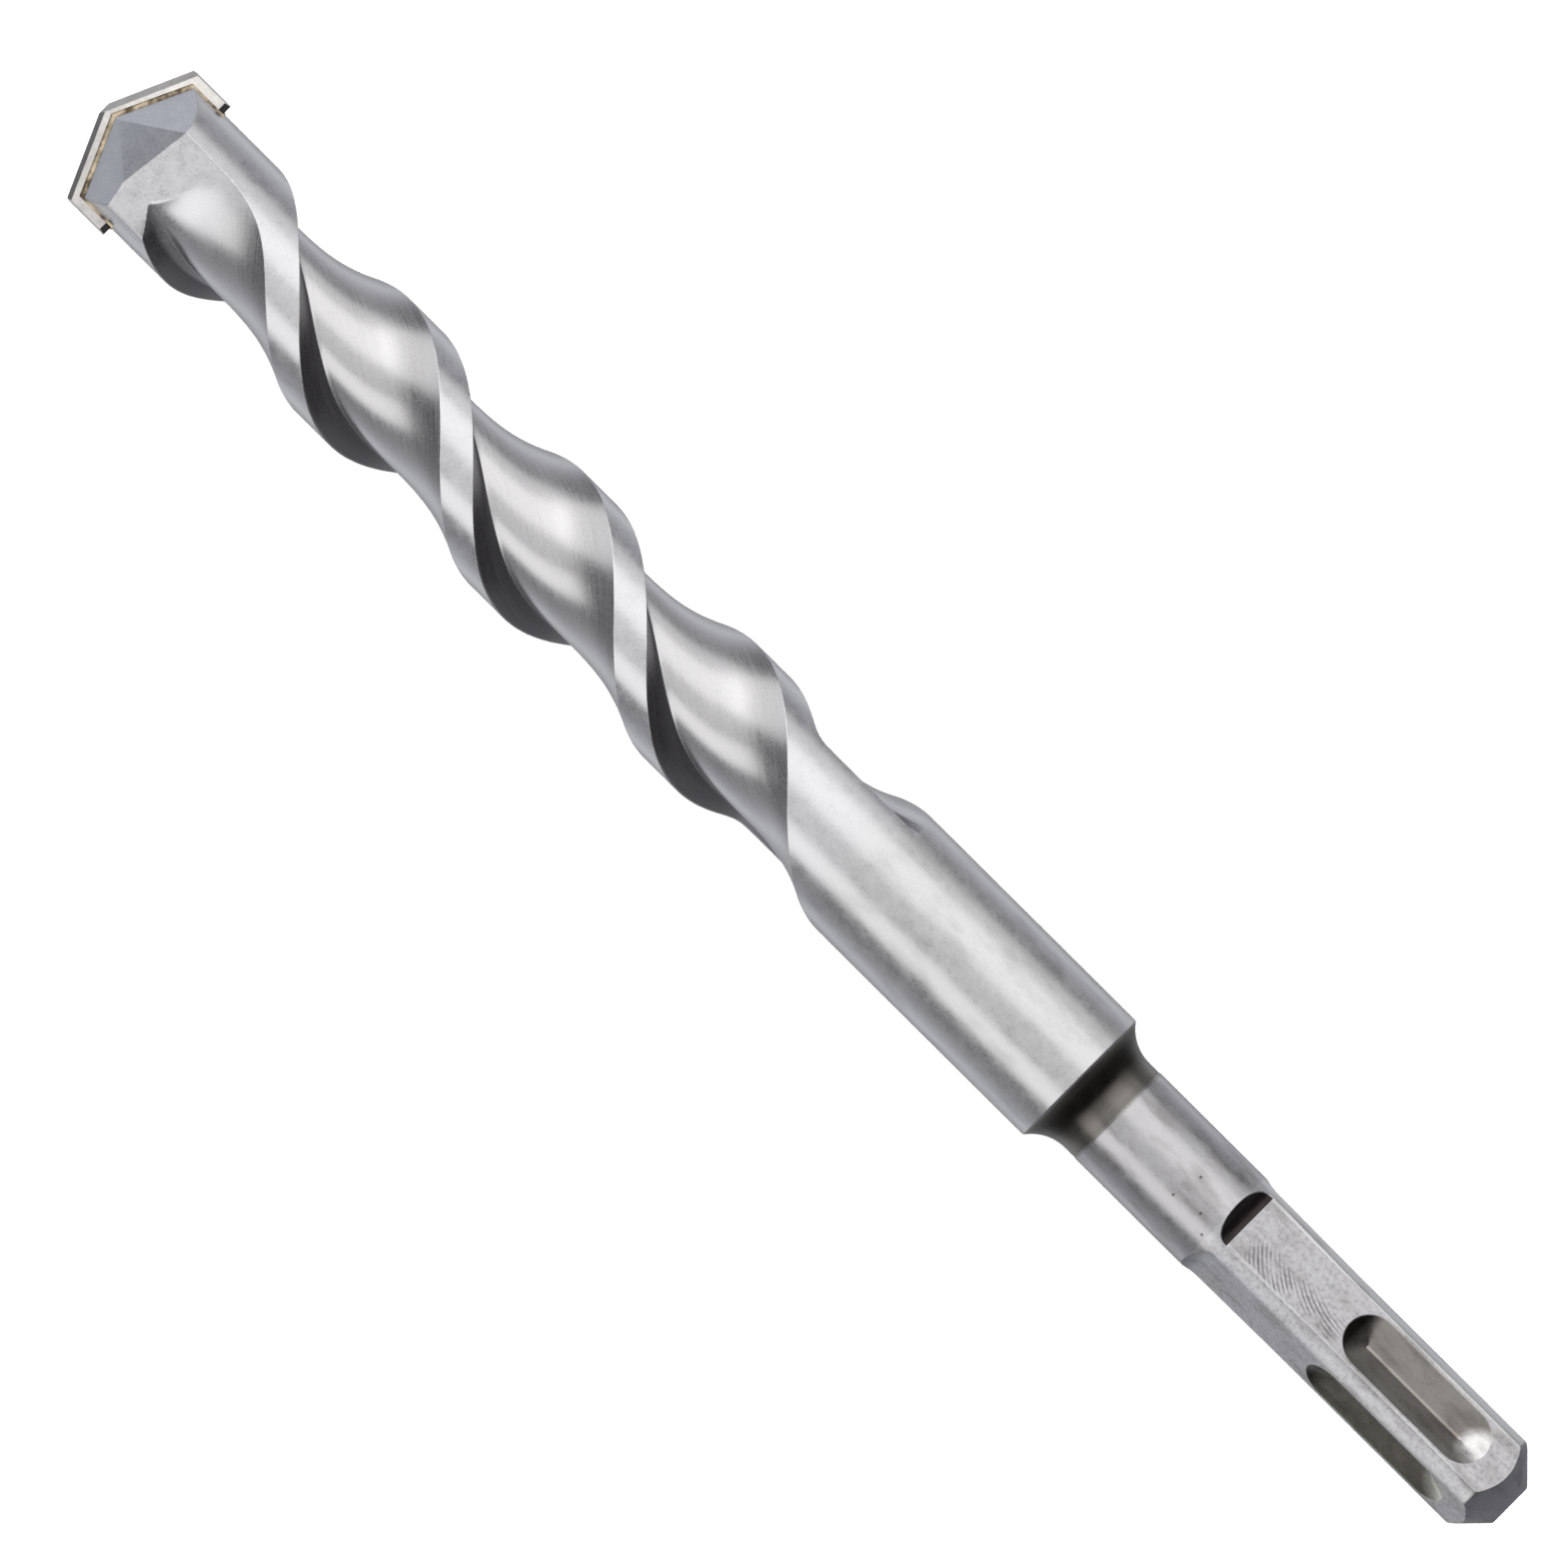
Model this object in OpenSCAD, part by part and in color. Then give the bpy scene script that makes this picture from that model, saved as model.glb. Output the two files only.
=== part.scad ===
// Hammer drill bit for masonry: one steel bar with two helical flutes and a square shank
// with four driving pockets, and a carbide plate brazed across its head.
// Sizes are millimetres. The drill lies along X, with the shank's end face at the origin.
// Angles around the axis run from the side that faces up, towards the side at -Y.

// Which piece is drawn

/* [Drill body] */
// Diameter of the fluted part and of the collar behind it
body_d = 13.3; // [8:0.1:30]
// Distance from the shank's end face to the tip of the point
overall_length = 164; // [150:0.5:320]
// Distance from the shank's end face to the collar's rear edge
collar_start = 50.2; // [46:0.1:60]
// Distance from the shank's end face to where the flutes have run out
flute_start = 73.6; // [70:0.1:90]

/* [Shank] */
// Diameter of the round shank
shank_d = 10; // [9:0.05:12]
// Distance between two opposite flats
across_flats = 7.85; // [7:0.01:9.5]
// Length of the squared part, from the end face to the flats' deepest line
flats_length = 31.8; // [24:0.1:36]
// Radius of the run-out at the end of each flat
flat_runout_r = 2; // [0.8:0.1:4]
// Turn of the four flats around the axis, in degrees
flats_turn = 21.5; // [0:0.5:89]
// Step from the round shank down to the squared part's corners, on the radius
corner_relief = 0.16; // [0.02:0.02:0.6]
// Distance from the end face to where the corners start to widen to the round shank
corner_widens = 22; // [20:0.5:30]
// Diameter of the end face inside the chamfer
end_face_d = 4.2; // [2:0.1:8]
// Length of the relieved neck, from the round shank to the start of the fillet
neck_length = 1.2; // [0.4:0.1:4]
// Depth of the neck's relief below the shank, on the radius
neck_relief = 0.05; // [0.02:0.01:0.3]
// Radius of the fillet between neck and collar
neck_fillet_r = 3.9; // [2:0.1:12]

/* [Pockets] */
// Distance from the end face to a pocket's nearer end
pocket_start = 4.4; // [3.4:0.1:8]
// Length of a pocket on the flat
pocket_length = 15.7; // [8:0.1:18]
// Width of a pocket on the flat
pocket_w = 5.05; // [3:0.05:6]
// Depth of a pocket below the flat
pocket_depth = 1.2; // [0.4:0.05:1.8]
// Width of a pocket's floor
pocket_floor_w = 0.25; // [0.1:0.05:2]

/* [Flutes] */
// Step from the collar down to the lands, on the radius
land_relief = 0.02; // [0.01:0.01:0.3]
// Length along the axis of one turn of a flute
lead = 40.5; // [30:0.5:70]
// Diameter of the core between the flutes
core_d = 8.6; // [5:0.1:10]
// Width of one land around the axis, in degrees
land_deg = 34; // [15:1:60]
// Part of a flute's width taken by its steep wall
wall_part = 0.1; // [0.04:0.01:0.2]
// Part of a flute's width at which its floor starts to rise
rise_part = 0.24; // [0.2:0.01:0.5]
// Power of the rise: a higher value keeps the floor low for longer
rise_power = 3; // [1.5:0.1:5]
// Length over which the flutes run out towards the collar
runout_length = 10.5; // [5:0.5:20]
// Length over which the flutes run in behind the head
runin_length = 7; // [3:0.5:15]

/* [Head] */
// Distance of the head's two side flats from the axis
head_flat = 4.88; // [4:0.02:6]
// Turn of the side flats around the axis, in degrees
head_flat_turn = -12.7; // [-40:0.1:40]
// Distance from the tip back to where the side flats end in the flutes
head_flat_length = 9.5; // [8:0.5:14]
// Radius of the round end behind each side flat
head_flat_runout_r = 14; // [6:0.5:24]
// Turn of each steep wall ahead of its helix where it reaches the head, in degrees
head_wall_turn = 10.2; // [0:0.2:20]
// Distance from the tip back to where the flutes start to rise into the head
runin_start = 12.4; // [9:0.2:16]
// Tilt of the first, middle and last facet of the steel point, in degrees
facet_tilt = [44.9, 55.6, 48.9]; // [20:0.1:70]
// Turn of the three facets around the axis, in degrees
facet_turn = [27.9, -7.9, -22.5]; // [-60:0.1:60]
// Height on the axis of the three facets' planes, over the tip
facet_over = [0.3, 1.35, 0.46]; // [-1:0.01:3]

/* [Carbide plate] */
// Cutting diameter, across the plate's corners
tip_d = 15; // [10:0.1:32]
// Thickness of the plate
plate_t = 3; // [1.5:0.1:6]
// Height of the plate from its rear edge to the tip
plate_h = 7.4; // [5:0.1:15]
// Angle between the two cutting edges
point_angle = 132; // [100:1:150]
// Relief angle behind each cutting edge
relief_angle = 12; // [5:1:30]
// Chamfer on the plate's rear edges
plate_chamfer = 0.55; // [0.2:0.05:1]

/* [Braze] */
// Thickness of the braze on each side of the plate
braze_t = 0.15; // [0.05:0.01:0.4]
// How far the braze stands proud of the steel point
bead = 0.3; // [0.1:0.05:0.8]
// How far the braze stands proud of the body's side
bead_side = 0.12; // [0.05:0.01:0.3]

/* [Hidden] */
$fn = 96;
// radii and stations along the axis
R = body_d / 2;
r_shank = shank_d / 2;
r_end = end_face_d / 2;
r_neck = r_shank - neck_relief;
plate_z = overall_length - plate_h;
fillet_rise = R - r_neck;
fillet_run = sqrt(neck_fillet_r ^ 2 - (neck_fillet_r - fillet_rise) ^ 2);
shank_end = collar_start - fillet_run - neck_length;
// the helix: the land's leading edge as an angle for each station, from the head's straight edge
deg_per_mm = 360 / lead;
flute_w = 180 - land_deg;
depth = R - core_d / 2;
head_edge = head_flat_turn + acos(head_flat / R);
head_edge_rear = head_flat_turn - acos(head_flat / R);
blend_z = overall_length - 15.6;
runin_z = overall_length - runin_start;
flat_end_z = overall_length - head_flat_length;
// stations of a flute: even through the body, closer where it rises into the head, then past the tip
body_steps = ceil((overall_length - 14 - flute_start) / 1.5);
stations = concat(
    [flute_start - 1],
    [for (i = [0:body_steps]) part_way(flute_start + 0.1, overall_length - 14, i / body_steps)],
    [for (i = [1:5]) overall_length - 14 + i * 0.6],
    [for (i = [1:12]) overall_length - 11 + i * 0.3],
    [overall_length + 2]);
// places across a flute, from the steep wall to the land's leading edge, and across a land
places = [0, 0.018, 0.05, 0.1, 0.16, 0.25, 0.4, 0.52, 0.62, 0.71, 0.79, 0.86, 0.92, 0.965, 1];
land_places = [0.25, 0.5, 0.75];

function soft_min(a, b, k) = min(a, b) - k * ln(1 + exp(-abs(a - b) / k));
function soft_max(a, b, k) = -soft_min(-a, -b, k);

// angle of the land's leading edge, straight in the head and helical behind it
function edge_b(z) = soft_min(head_edge + (z - blend_z) * deg_per_mm, head_edge, 15);
// angle of the foot of the steep wall's land, helical, and straight in the run-out
function edge_a_helix(z) = head_edge + (z - blend_z) * deg_per_mm - flute_w;
runout_edge = edge_a_helix(flute_start + runout_length) + 13;
function head_wall(x) = head_wall_turn * x * x * (3 - 2 * x);
function edge_a_body(z) = min(-36, soft_max(edge_a_helix(z), runout_edge, 4)
    + head_wall(max(0, min(1, (z - overall_length + 20) / 8))));
// where the land ends: just outside the steep wall, or at the side flat
function land_edge(z) = min(z > flat_end_z - 1 ? head_edge_rear : 0, edge_a_body(z) - 0.4);
// depth of the flute along the axis: it rises out of the steel at both ends
function flute_depth(z) = depth * (
    z < flute_start + runout_length ? sin(90 * (z - flute_start) / runout_length)
    : z > runin_z ? sin(90 * max(-0.2, 1 - (z - runin_z) / runin_length)) : 1);
function wall_cut(s) = s < wall_part ? 1 - (1 - s / wall_part) ^ 2 : 1;
function rise_cut(s) = s > rise_part ? 1 - ((s - rise_part) / (1 - rise_part)) ^ rise_power : 1;
function cut_shape(s) = min(wall_cut(s), rise_cut(s));
// radius of the head's side flat at an angle, far outside where the flat isn't cut
function flat_off(z) = z > flat_end_z ? head_flat
    : head_flat + head_flat_runout_r - sqrt(max(0, head_flat_runout_r ^ 2 - (flat_end_z - z) ^ 2));
function flat_r(z, a) = flat_off(z) / cos(max(-60, min(60, a - head_flat_turn)));
// radius of the flute's own surface, at an angle
function flute_r(z, a) = let (a0 = edge_a_body(z), s = (a - a0) / (edge_b(z) - a0))
    s < 0 ? 10 * R : R - flute_depth(z) * cut_shape(min(1, s));
function body_r(z, a) = min(R - land_relief, flute_r(z, a), flat_r(z, a));
function at(z, a, r) = [r * cos(a), r * sin(a), z];
function part_way(a, b, s) = a + s * (b - a);
// the outline of the body at a station: flute, land, flute, land
function ring(z) = [for (half = [0, 180]) each concat(
    let (a = land_edge(z)) [at(z, a + half, body_r(z, a))],
    [for (s = places) let (a = part_way(edge_a_body(z), edge_b(z), s)) at(z, a + half, body_r(z, a))],
    [for (s = land_places) let (a = part_way(edge_b(z), land_edge(z) + 180, s))
        at(z, a + half, R - land_relief)])];

// the fluted body with the side flats of its head, from inside the collar to past the tip
module fluted_bar() {
    n = 2 * (1 + len(places) + len(land_places));
    m = len(stations);
    polyhedron(
        points = concat([for (z = stations) each ring(z)], [[0, 0, stations[0]], [0, 0, stations[m - 1]]]),
        faces = concat(
            [for (j = [0:n - 1]) [(j + 1) % n, m * n, j]],
            [for (i = [0:m - 2], j = [0:n - 1]) let (k = (j + 1) % n) [i * n + j, (i + 1) * n + j, i * n + k]],
            [for (i = [0:m - 2], j = [0:n - 1]) let (k = (j + 1) % n)
                [i * n + k, (i + 1) * n + j, (i + 1) * n + k]],
            [for (j = [0:n - 1]) [(m - 1) * n + j, m * n + 1, (m - 1) * n + (j + 1) % n]]));
}

// everything in front of a plane that crosses the axis at height h
module in_front_of(h, tilt, turn) {
    translate([0, 0, h]) rotate([0, tilt, turn])
        translate([-20, -20, 0]) cube([40, 40, 20]);
}

// both halves of something that repeats after half a turn
module twice() {
    children();
    rotate([0, 0, 180]) children();
}

// what the steel point leaves out, with the planes raised by lift
module point_cuts(lift) {
    twice() for (i = [0:2])
        in_front_of(overall_length + facet_over[i] + lift, facet_tilt[i], facet_turn[i]);
}

// the turned bar: chamfered end, shank, neck, fillet and body
module blank() {
    r_corner = r_shank - corner_relief;
    // where the flats' run-outs have left the bar round again
    round_z = flats_length + sqrt(flat_runout_r ^ 2 - (flat_runout_r - r_shank + across_flats / 2) ^ 2) + 0.1;
    chamfer = r_corner - r_end;
    fillet_z = collar_start - fillet_run;
    rotate_extrude() polygon(concat(
        [[0, 0], [r_end, 0], [r_corner, chamfer], [r_corner, corner_widens], [r_shank, round_z],
            [r_shank, shank_end], [r_neck, shank_end]],
        [for (i = [0:8]) let (a = i * asin(fillet_run / neck_fillet_r) / 8)
            [r_neck + neck_fillet_r * (1 - cos(a)), fillet_z + neck_fillet_r * sin(a)]],
        [[R, flute_start], [0, flute_start]]));
}

// one flat of the shank with its round run-out, as a solid to be cut away
module shank_flat() {
    half = across_flats / 2;
    wide = shank_d;
    translate([half, -wide / 2, -1]) cube([shank_d, wide, flats_length + 1]);
    translate([half + flat_runout_r, 0, flats_length]) rotate([90, 0, 0])
        cylinder(r = flat_runout_r, h = wide, center = true, $fn = 48);
}

// one pocket: a cone-shaped groove with round ends
module pocket() {
    half = across_flats / 2;
    slope = (pocket_w - pocket_floor_w) / 2 / pocket_depth;
    over = 0.3;
    hull() for (z = [pocket_start + pocket_w / 2, pocket_start + pocket_length - pocket_w / 2])
        translate([half - pocket_depth, 0, z]) rotate([0, 90, 0])
            cylinder(r1 = pocket_floor_w / 2, r2 = pocket_w / 2 + over * slope, h = pocket_depth + over, $fn = 36);
}

module plate_slot() {
    wide = plate_t + 2 * braze_t;
    translate([-wide / 2, -10, plate_z - braze_t]) cube([wide, 20, 20]);
}

module drill_body() {
    color("Silver") lie() difference() {
        union() {
            blank();
            fluted_bar();
        }
        point_cuts(0);
        plate_slot();
        for (i = [0:3]) rotate([0, 0, flats_turn + 90 * i]) {
            shank_flat();
            pocket();
        }
    }
}

// the plate before its cutting edges are ground, wide over all
module plate_blank() {
    difference() {
        translate([-plate_t / 2, -tip_d, plate_z]) cube([plate_t, 2 * tip_d, plate_h + 2]);
        twice() translate([plate_t / 2 - plate_chamfer, 0, plate_z]) rotate([0, -45, 0])
            translate([0, -tip_d - 1, -2]) cube([2, 2 * tip_d + 2, 2]);
    }
}

module carbide_tip() {
    edge_slope = atan(1 / tan(point_angle / 2));
    // height lost between the corner of the edges and the short chisel edge that the reliefs leave
    chisel = plate_t / 2 * tan(relief_angle);
    color("DarkGray") lie() difference() {
        intersection() {
            plate_blank();
            cylinder(d = tip_d, h = overall_length + 2);
        }
        twice() translate([-plate_t / 2, 0, overall_length + chisel])
            rotate([-edge_slope, 0, 0]) rotate([0, relief_angle, 0])
                translate([-10, -20, 0]) cube([20, 40, 10]);
    }
}

module braze_seam() {
    color("Goldenrod") lie() difference() {
        intersection() {
            plate_slot();
            cylinder(r = R + bead_side, h = overall_length + 2);
        }
        point_cuts(bead);
        plate_blank();
    }
}

// turns a piece built along Z into the lying tool
module lie() {
    rotate([0, 90, 0]) rotate([0, 0, 180]) children();
}

drill_body();
carbide_tip();
braze_seam();
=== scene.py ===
import math

import bmesh
import bpy
from bpy.props import FloatProperty, FloatVectorProperty, PointerProperty
from bpy.types import Operator, Panel, PropertyGroup
from mathutils import Matrix, Vector


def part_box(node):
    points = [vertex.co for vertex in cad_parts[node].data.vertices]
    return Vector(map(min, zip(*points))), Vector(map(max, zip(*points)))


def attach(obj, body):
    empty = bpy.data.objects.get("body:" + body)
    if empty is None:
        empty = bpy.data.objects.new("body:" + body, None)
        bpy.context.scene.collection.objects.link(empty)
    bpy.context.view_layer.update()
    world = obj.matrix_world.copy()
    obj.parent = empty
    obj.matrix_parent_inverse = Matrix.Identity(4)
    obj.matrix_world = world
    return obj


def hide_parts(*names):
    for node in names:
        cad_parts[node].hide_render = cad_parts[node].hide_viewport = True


bl_info = {
    "name": "Masonry Drill Bit",
    "version": (1, 0, 0),
    "blender": (4, 5, 0),
    "location": "3D View > Sidebar > Drill Bit",
    "description": "Builds the finished steel, carbide and braze of a hammer drill bit on its frame",
    "category": "Object",
}

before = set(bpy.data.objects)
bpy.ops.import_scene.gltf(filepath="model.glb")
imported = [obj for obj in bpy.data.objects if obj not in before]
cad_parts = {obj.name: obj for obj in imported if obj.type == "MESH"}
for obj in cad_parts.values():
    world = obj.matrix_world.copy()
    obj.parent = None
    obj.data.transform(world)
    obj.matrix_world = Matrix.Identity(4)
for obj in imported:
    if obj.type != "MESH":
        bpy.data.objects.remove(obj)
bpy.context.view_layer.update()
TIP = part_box("carbide_tip")[1].x
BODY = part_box("drill_body")
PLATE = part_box("carbide_tip")

# The shapes are worked out in millimetres along Z from the shank's end face, and then laid along X.
MM = 0.001
LYING = Matrix.Scale(MM, 4) @ Matrix.Rotation(math.radians(90), 4, "Y") @ Matrix.Rotation(math.radians(180), 4, "Z")


def length(name, description, default):
    return FloatProperty(name=name, description=description, default=default * MM, unit="LENGTH", precision=5)


def angle(name, description, default):
    return FloatProperty(name=name, description=description, default=math.radians(default), unit="ROTATION")


def colour(name, description, default):
    return FloatVectorProperty(name=name, description=description, default=default, subtype="COLOR", size=3)


class DrillShankSizes(PropertyGroup):
    shank_d: length("Shank", "Diameter of the round shank", 10)
    across_flats: length("Across flats", "Distance between two opposite flats", 7.85)
    flats_length: length("Flats", "Length of the squared part", 31.8)
    corner_relief: length("Corner relief", "How far the corners between the flats lie inside the round shank", 0.16)
    corner_widens: length("Corners widen", "Distance from the end face to where the corners start to widen", 22)
    flats_turn: angle("Turn of flats", "Turn of the four flats around the axis", 21.5)
    runout_r: length("Run-out radius", "Radius at the end of each flat", 2)
    end_face_d: length("End face", "Diameter of the end face inside its chamfer", 4.2)
    neck_relief: length("Neck relief", "Depth of the neck below the shank", 0.05)
    neck_length: length("Neck", "Length of the relieved neck", 1.2)
    neck_fillet: length("Neck fillet", "Radius between the neck and the collar", 3.9)
    collar_start: length("Collar start", "Distance from the end face to the collar", 50.2)
    pocket_start: length("Pocket start", "Distance from the end face to a pocket", 4.4)
    pocket_length: length("Pocket length", "Length of a pocket on its flat", 15.7)
    pocket_w: length("Pocket width", "Width of a pocket on its flat", 5.05)
    pocket_depth: length("Pocket depth", "Depth of a pocket below its flat", 1.2)
    pocket_floor: length("Pocket floor", "Width of a pocket's floor", 0.25)


class DrillFluteSizes(PropertyGroup):
    flute_start: length("Flute start", "Distance from the end face to where the flutes have run out", 73.6)
    lead: length("Lead", "Length along the axis of one turn of a flute", 40.5)
    core_d: length("Core", "Diameter of the core between the flutes", 8.6)
    land: angle("Land", "Width of one land around the axis", 34)
    wall_part: FloatProperty(name="Wall part", description="Part of a flute taken by its steep wall", default=0.1)
    rise_part: FloatProperty(name="Rise part", description="Part of a flute where its floor starts to rise", default=0.24)
    rise_power: FloatProperty(name="Rise power", description="Higher keeps the floor low for longer", default=3.0)
    runout: length("Run-out", "Length over which the flutes run out", 10.5)
    runin: length("Run-in", "Length over which the flutes run in", 7)
    head_flat: length("Head flats", "Distance of the head's side flats from the axis", 4.88)
    head_turn: angle("Turn of head flats", "Turn of the side flats around the axis", -12.7)
    head_length: length("Head flat length", "Distance from the tip back to the end of the side flats", 9.5)
    flat_runout: length("Head flat run-out", "Radius of the round end behind each side flat", 14)
    wall_turn: angle("Wall turn", "Turn of each steep wall ahead of its helix at the head", 10.2)
    runin_start: length("Run-in start", "Distance from the tip back to where the flutes start to run in", 12.4)


class DrillPlateSizes(PropertyGroup):
    tip_d: length("Cutting diameter", "Diameter across the plate's corners", 15)
    thick: length("Plate thickness", "Thickness of the carbide plate", 3)
    high: length("Plate height", "Height of the plate, from its rear edge to the tip", 7.4)
    point: angle("Point angle", "Angle between the two cutting edges", 132)
    relief: angle("Relief angle", "Relief behind each cutting edge", 12)
    chamfer: length("Rear chamfer", "Chamfer on the plate's rear edges", 0.55)
    edge_land: length("Edge land", "Width of the narrow land ground along each cutting edge", 0.5)
    braze: length("Braze", "Thickness of the braze beside the plate", 0.15)
    bead: length("Bead", "How far the braze stands proud of the steel point", 0.3)
    bead_side: length("Side bead", "How far the braze stands proud of the body's side", 0.12)


class DrillColours(PropertyGroup):
    steel: colour("Steel", "Ground steel of the body", (0.46, 0.455, 0.455))
    carbide: colour("Carbide", "Ground face of the plate", (0.47, 0.455, 0.435))
    braze: colour("Braze", "Brass-coloured braze", (0.56, 0.46, 0.33))
    floor: colour("Floor", "Pale floor under the drill", (0.9, 0.9, 0.9))


def mm(value):
    return value / MM


# ---------------------------------------------------------------- shape of the body


def soft_min(a, b, k):
    return min(a, b) - k * math.log(1 + math.exp(-abs(a - b) / k))


def soft_max(a, b, k):
    return -soft_min(-a, -b, k)


class FluteForm:
    """The outline of the fluted bar at each station, in millimetres and degrees."""

    def __init__(self, shank, flute):
        self.radius = BODY[1].z / MM
        self.tip = round(TIP / MM * 2) / 2
        self.deg = 360 / mm(flute.lead)
        self.width = 180 - math.degrees(flute.land)
        self.deep = self.radius - mm(flute.core_d) / 2
        self.start = mm(flute.flute_start)
        self.runout = mm(flute.runout)
        self.runin = mm(flute.runin)
        self.flat = mm(flute.head_flat)
        self.turn = math.degrees(flute.head_turn)
        half = math.degrees(math.acos(self.flat / self.radius))
        self.front_edge = self.turn + half
        self.rear_edge = self.turn - half
        self.blend_z = self.tip - 15.6
        self.runin_z = self.tip - mm(flute.runin_start)
        self.flat_runout = mm(flute.flat_runout)
        self.wall_turn = math.degrees(flute.wall_turn)
        self.flat_end = self.tip - mm(flute.head_length)
        self.wall, self.rise, self.power = flute.wall_part, flute.rise_part, flute.rise_power
        self.runout_edge = self.helix_a(self.start + self.runout) + 13

    def helix_b(self, z):
        return self.front_edge + (z - self.blend_z) * self.deg

    def helix_a(self, z):
        return self.helix_b(z) - self.width

    def edge_b(self, z):
        return soft_min(self.helix_b(z), self.front_edge, 15)

    def edge_a(self, z):
        x = max(0, min(1, (z - self.tip + 20) / 8))
        return min(-36, soft_max(self.helix_a(z), self.runout_edge, 4) + self.wall_turn * x * x * (3 - 2 * x))

    def land_edge(self, z):
        return min(self.rear_edge if z > self.flat_end - 1 else 0, self.edge_a(z) - 0.4)

    def depth(self, z):
        if z < self.start + self.runout:
            return self.deep * math.sin(math.radians(90 * max(-0.2, (z - self.start) / self.runout)))
        if z > self.runin_z:
            return self.deep * math.sin(math.radians(90 * max(-0.2, 1 - (z - self.runin_z) / self.runin)))
        return self.deep

    def cut(self, s):
        wall = 1 - (1 - s / self.wall) ** 2 if s < self.wall else 1
        rise = 1 - ((s - self.rise) / (1 - self.rise)) ** self.power if s > self.rise else 1
        return min(wall, rise)

    def flute_r(self, z, a):
        a0 = self.edge_a(z)
        s = (a - a0) / (self.edge_b(z) - a0)
        if s < 0 or s > 1:
            return 10 * self.radius
        return self.radius - self.depth(z) * self.cut(s)

    def flat_r(self, z, a):
        off, back = abs(a - self.turn), self.flat_end - z
        if off > 60 or back > self.flat_runout:
            return 10 * self.radius
        away = self.flat_runout - math.sqrt(self.flat_runout**2 - back**2) if back > 0 else 0
        return (self.flat + away) / math.cos(math.radians(off))

    def r(self, z, a):
        return min(self.radius, self.flute_r(z, a), self.flat_r(z, a))


def spread(low, high, count):
    return [low + (high - low) * i / count for i in range(count)]


def turned_rings(shank, form):
    """Stations and radii of the turned bar behind the flutes."""
    r_end, r = mm(shank.end_face_d) / 2, mm(shank.shank_d) / 2
    neck, fillet = r - mm(shank.neck_relief), mm(shank.neck_fillet)
    collar = mm(shank.collar_start)
    rise = form.radius - neck
    run = math.sqrt(fillet**2 - (fillet - rise) ** 2)
    neck_z = collar - run
    corner = r - mm(shank.corner_relief)
    chamfer = corner - r_end
    end_r = mm(shank.runout_r)
    round_z = mm(shank.flats_length) + math.sqrt(end_r**2 - (end_r - r + mm(shank.across_flats) / 2) ** 2) + 0.1
    rings = [(0, r_end - 0.25), (0.03, r_end - 0.08), (0.12, r_end + 0.06)]
    rings += [(chamfer - 0.12, corner - 0.14), (chamfer, corner - 0.03), (chamfer + 0.15, corner)]
    widens = mm(shank.corner_widens)
    rings += [(z, corner) for z in spread(chamfer + 3, widens, 7)]
    rings += [(widens + i * (round_z - widens) / 6, corner + i * (r - corner) / 6) for i in range(7)]
    rings += [(z, r) for z in spread(round_z + 1, neck_z - mm(shank.neck_length) - 0.3, 6)]
    rings += [(neck_z - mm(shank.neck_length) - 0.06, r), (neck_z - mm(shank.neck_length), neck)]
    for i in range(17):
        a = i * math.asin(run / fillet) / 16
        rings.append((neck_z + fillet * math.sin(a), neck + fillet * (1 - math.cos(a))))
    rings[-1] = (collar - 0.02, form.radius - 0.06)
    rings += [(collar + 0.05, form.radius - 0.01), (collar + 0.2, form.radius)]
    rings += [(z, form.radius) for z in spread(collar + 2, form.start - 7, 8)]
    return rings


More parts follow.
